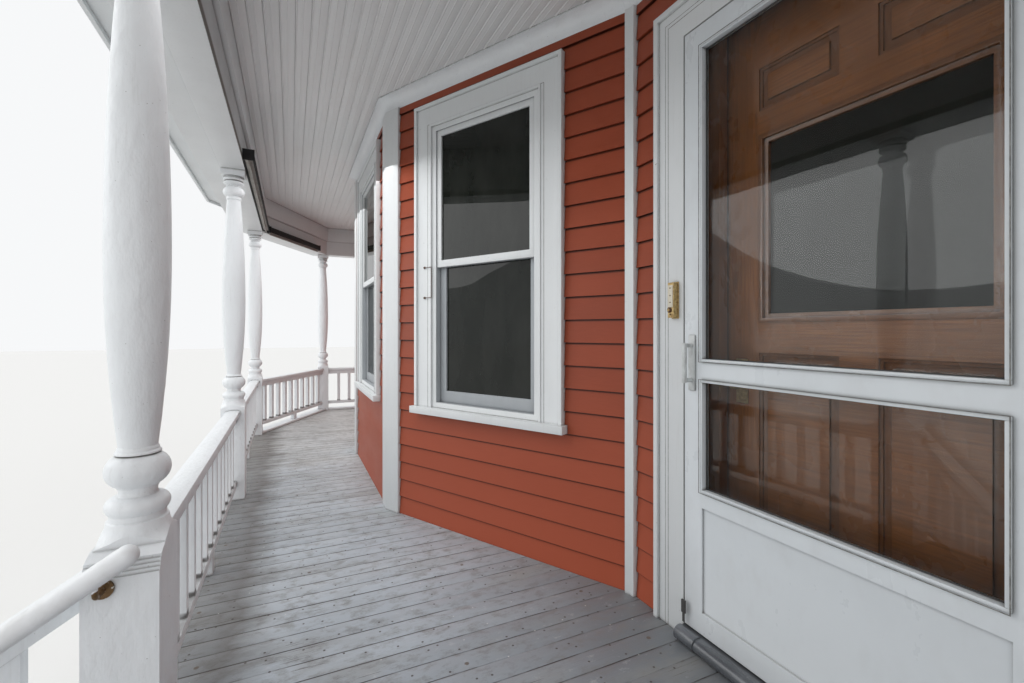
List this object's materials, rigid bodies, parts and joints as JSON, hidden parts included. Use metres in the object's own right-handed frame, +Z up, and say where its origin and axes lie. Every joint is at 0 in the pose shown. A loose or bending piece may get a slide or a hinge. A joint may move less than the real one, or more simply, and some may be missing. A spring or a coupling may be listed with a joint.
{
  "type": "front porch",
  "caption": "Front porch with turned posts, railings, steps, clapboard walls, a slanted bay, and a hinged storm door over a hinged glazed wooden door",
  "frame": {"origin": "on the ground below the middle of the front door, in the plane of the house wall's outer face; the foundation's underside stands there", "axes": "X along the house wall, to the right as seen from the street; Y from the street into the house; Z up"},
  "size_m": [8.7885, 3.2195, 4.0027],
  "materials": {
    "foundation_stone": "rough grey masonry",
    "siding": "brick red painted clapboards, worn satin",
    "inner_floor": "varnished boards",
    "trim_white": "white gloss paint with dirt in the mouldings",
    "ceiling_paint": "pale grey painted beaded boards",
    "glass": "clear window glass over a dark room",
    "threshold_grey": "grey porch paint",
    "brass": "worn brass",
    "hinge_metal": "white painted metal",
    "storm_frame": "white baked enamel",
    "handle_grey": "grey enamel",
    "door_varnish": "orange brown varnish",
    "pier_brick": "red brick",
    "frame_timber": "bare softwood",
    "deck_paint": "blue grey porch paint, worn and dirty",
    "handrail_white": "white paint",
    "shade_black": "black shade cloth and brackets",
    "roof_shingle": "grey asphalt shingles"
  },
  "bodies": {
    "porch": {"house_foundation": "foundation_stone", "wall_near": "siding", "wall_beside_door": "siding", "wall_over_door": "siding", "bay_wall_near": "siding", "bay_wall_front": "siding", "bay_wall_far": "siding", "wall_far": "siding", "bay_header": "siding", "bay_floor": "inner_floor", "bay_ceiling": "ceiling_paint", "corner_trim": "trim_white", "crown_moulding": "trim_white", "window_near_frame": "trim_white", "window_front_frame": "trim_white", "window_far_frame": "trim_white", "window_sashes": "trim_white", "window_glass": "glass", "door_frame": "trim_white", "threshold": "threshold_grey", "doorbell": "brass", "door_hinges": "hinge_metal", "porch_piers": "pier_brick", "deck_frame": "frame_timber", "deck": "deck_paint", "skirt_panels": "trim_white", "stair_stringers": "trim_white", "stair_risers": "trim_white", "stair_treads": "deck_paint", "stair_newels": "trim_white", "stair_rails": "trim_white", "stair_handrails": "handrail_white", "post_near_corner": "trim_white", "post_stair_near": "trim_white", "post_stair_far": "trim_white", "post_front": "trim_white", "post_turn": "trim_white", "post_far_end": "trim_white", "rail_near_end": "trim_white", "rail_near_front": "trim_white", "rail_front_1": "trim_white", "rail_front_2": "trim_white", "rail_slanted": "trim_white", "rail_far_end": "trim_white", "porch_beam": "trim_white", "roller_shades": "shade_black", "porch_ceiling": "ceiling_paint", "roof": "roof_shingle", "eave_trim": "trim_white"},
    "storm_door": {"storm_door": "storm_frame", "storm_door_glass": "glass", "storm_door_handle": "handle_grey"},
    "front_door": {"front_door": "door_varnish", "front_door_glass": "glass", "front_door_hardware": "brass"}
  },
  "joints": [
    {"name": "storm_door_hinge", "type": "hinge", "parent": "porch", "child": "storm_door", "pos_m": [0.463, -0.038, 1.95], "axis": [0, 0, 1], "range_deg": [0, 95]},
    {"name": "front_door_hinge", "type": "hinge", "parent": "porch", "child": "front_door", "pos_m": [0.463, 0.158, 1.95], "axis": [0, 0, -1], "range_deg": [0, 100]}
  ]
}
